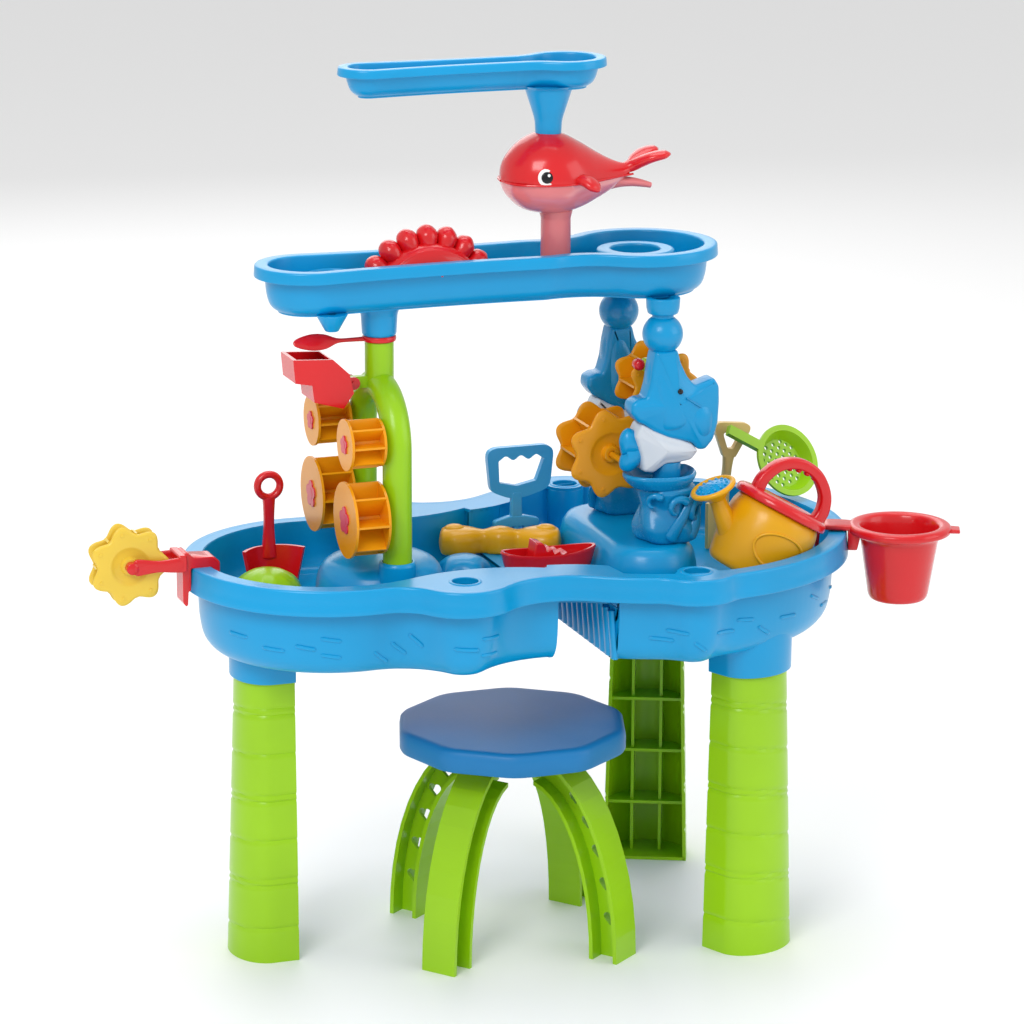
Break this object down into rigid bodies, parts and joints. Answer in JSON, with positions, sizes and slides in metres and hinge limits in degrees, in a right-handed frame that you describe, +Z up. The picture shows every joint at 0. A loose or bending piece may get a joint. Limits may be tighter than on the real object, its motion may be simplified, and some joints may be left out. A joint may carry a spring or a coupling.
{
  "type": "sand and water table",
  "caption": "Plastic sand and water play table with joined tubs on legs, water towers with turning wheels, tipping bucket, upper trays, whale, loose toys and a stool.",
  "frame": {"origin": "on the floor under the middle of the whole object", "axes": "+X along the table from the small tub to the large tub, +Y away from the user's front side, +Z up"},
  "size_m": [0.8206, 0.412, 0.836],
  "materials": {
    "blue": "glossy moulded plastic",
    "light_blue": "glossy moulded plastic",
    "green": "glossy moulded plastic",
    "red": "glossy moulded plastic",
    "orange": "glossy moulded plastic",
    "yellow": "glossy moulded plastic",
    "pink": "translucent moulded plastic",
    "flower_pink": "glossy moulded plastic",
    "grey": "glossy moulded plastic",
    "tan": "satin moulded plastic",
    "white": "glossy plastic with black pupil"
  },
  "bodies": {
    "table": {"basin_left": "blue", "basin_right": "blue", "leg_left": "green", "leg_front": "green", "leg_back": "green", "left_pedestal": "blue", "right_pedestal": "blue", "arch_pipe_front": "green", "arch_pipe_back": "green", "arch_crown": "green", "upper_pipe": "green", "wheel_axles": "green", "middle_tray": "blue", "dolphin_front": "blue", "dolphin_back": "blue", "belly_front": "grey", "belly_back": "grey", "wave_front": "blue", "wave_back": "blue", "star_axles": "orange", "whale_shell": "red", "whale_belly": "pink", "whale_stem": "pink", "whale_eyes": "white"},
    "spinner": {"spinner": "red"},
    "bucket": {"tipping_bucket": "red", "bucket_pin": "red"},
    "upper_back_wheel": {"wheel_upper_back": "orange", "flower_upper_back": "flower_pink"},
    "upper_front_wheel": {"wheel_upper_front": "orange", "flower_upper_front": "flower_pink"},
    "lower_back_wheel": {"wheel_lower_back": "orange", "flower_lower_back": "flower_pink"},
    "lower_front_wheel": {"wheel_lower_front": "orange", "flower_lower_front": "flower_pink"},
    "large_star": {"large_star_wheel": "orange"},
    "small_star": {"small_star_wheel": "orange"},
    "rim_clip": {"clamp_fork": "red", "clamp_cap": "yellow"},
    "clip_wheel": {"clamp_wheel": "yellow"},
    "top_tray": {"top_tray": "blue"},
    "shell_mould": {"shell_mould": "red"},
    "shovel": {"shovel": "red"},
    "dome_mould": {"dome_mould": "green"},
    "bow_mould": {"bow_mould": "yellow"},
    "lumpy_mould": {"lumpy_mould": "blue"},
    "boat": {"boat": "red"},
    "rake": {"rake": "light_blue"},
    "tan_shovel": {"tan_shovel": "tan"},
    "sieve": {"sieve": "green"},
    "watering_can": {"can_body": "yellow", "can_lid": "red", "can_rose": "blue"},
    "cup": {"cup": "red"},
    "stool": {"stool_seat": "blue", "stool_leg_a": "green", "stool_leg_b": "green", "stool_leg_c": "green", "stool_leg_d": "green"}
  },
  "joints": [
    {"name": "spinner_turn", "type": "hinge", "parent": "table", "child": "spinner", "pos_m": [-0.132, 0, 0.587], "axis": [0, 0, 1], "continuous": true},
    {"name": "bucket_tip", "type": "hinge", "parent": "table", "child": "bucket", "pos_m": [-0.159, 0, 0.544], "axis": [0, -1, 0], "range_deg": [0, 75]},
    {"name": "upper_back_wheel_turn", "type": "hinge", "parent": "table", "child": "upper_back_wheel", "pos_m": [-0.1655, 0.052, 0.498], "axis": [1, 0, 0], "continuous": true},
    {"name": "upper_front_wheel_turn", "type": "hinge", "parent": "table", "child": "upper_front_wheel", "pos_m": [-0.1655, -0.052, 0.498], "axis": [1, 0, 0], "continuous": true},
    {"name": "lower_back_wheel_turn", "type": "hinge", "parent": "table", "child": "lower_back_wheel", "pos_m": [-0.1655, 0.052, 0.427], "axis": [1, 0, 0], "continuous": true},
    {"name": "lower_front_wheel_turn", "type": "hinge", "parent": "table", "child": "lower_front_wheel", "pos_m": [-0.1655, -0.052, 0.427], "axis": [1, 0, 0], "continuous": true},
    {"name": "large_star_turn", "type": "hinge", "parent": "table", "child": "large_star", "pos_m": [0.09, 0, 0.461], "axis": [0, 1, 0], "continuous": true},
    {"name": "small_star_turn", "type": "hinge", "parent": "table", "child": "small_star", "pos_m": [0.143, 0, 0.523], "axis": [0, 1, 0], "continuous": true},
    {"name": "rim_clip_lift", "type": "slide", "parent": "table", "child": "rim_clip", "axis": [0, 0, 1], "range_m": [0, 0.06]},
    {"name": "clip_wheel_turn", "type": "hinge", "parent": "rim_clip", "child": "clip_wheel", "pos_m": [-0.375, 0, 0.389], "axis": [0, 1, 0], "continuous": true},
    {"name": "top_tray_lift", "type": "slide", "parent": "table", "child": "top_tray", "axis": [0, 0, 1], "range_m": [0, 0.08]},
    {"name": "shell_mould_lift", "type": "slide", "parent": "table", "child": "shell_mould", "axis": [0, 0, 1], "range_m": [0, 0.08]},
    {"name": "shovel_lift", "type": "slide", "parent": "table", "child": "shovel", "axis": [0, 0, 1], "range_m": [0, 0.1]},
    {"name": "dome_mould_lift", "type": "slide", "parent": "table", "child": "dome_mould", "axis": [0, 0, 1], "range_m": [0, 0.08]},
    {"name": "bow_mould_lift", "type": "slide", "parent": "table", "child": "bow_mould", "axis": [0, 0, 1], "range_m": [0, 0.06]},
    {"name": "lumpy_mould_lift", "type": "slide", "parent": "table", "child": "lumpy_mould", "axis": [0, 0, 1], "range_m": [0, 0.08]},
    {"name": "boat_lift", "type": "slide", "parent": "table", "child": "boat", "axis": [0, 0, 1], "range_m": [0, 0.045]},
    {"name": "rake_lift", "type": "slide", "parent": "table", "child": "rake", "axis": [0, 0, 1], "range_m": [0, 0.1]},
    {"name": "tan_shovel_lift", "type": "slide", "parent": "table", "child": "tan_shovel", "axis": [0, 0, 1], "range_m": [0, 0.1]},
    {"name": "sieve_lift", "type": "slide", "parent": "table", "child": "sieve", "axis": [0, 0, 1], "range_m": [0, 0.08]},
    {"name": "watering_can_lift", "type": "slide", "parent": "table", "child": "watering_can", "axis": [0, 0, 1], "range_m": [0, 0.08]},
    {"name": "cup_lift", "type": "slide", "parent": "table", "child": "cup", "axis": [0, 0, 1], "range_m": [0, 0.06]},
    {"name": "stool_pull_out", "type": "slide", "parent": "table", "child": "stool", "axis": [0, -1, 0], "range_m": [0, 0.35]}
  ]
}
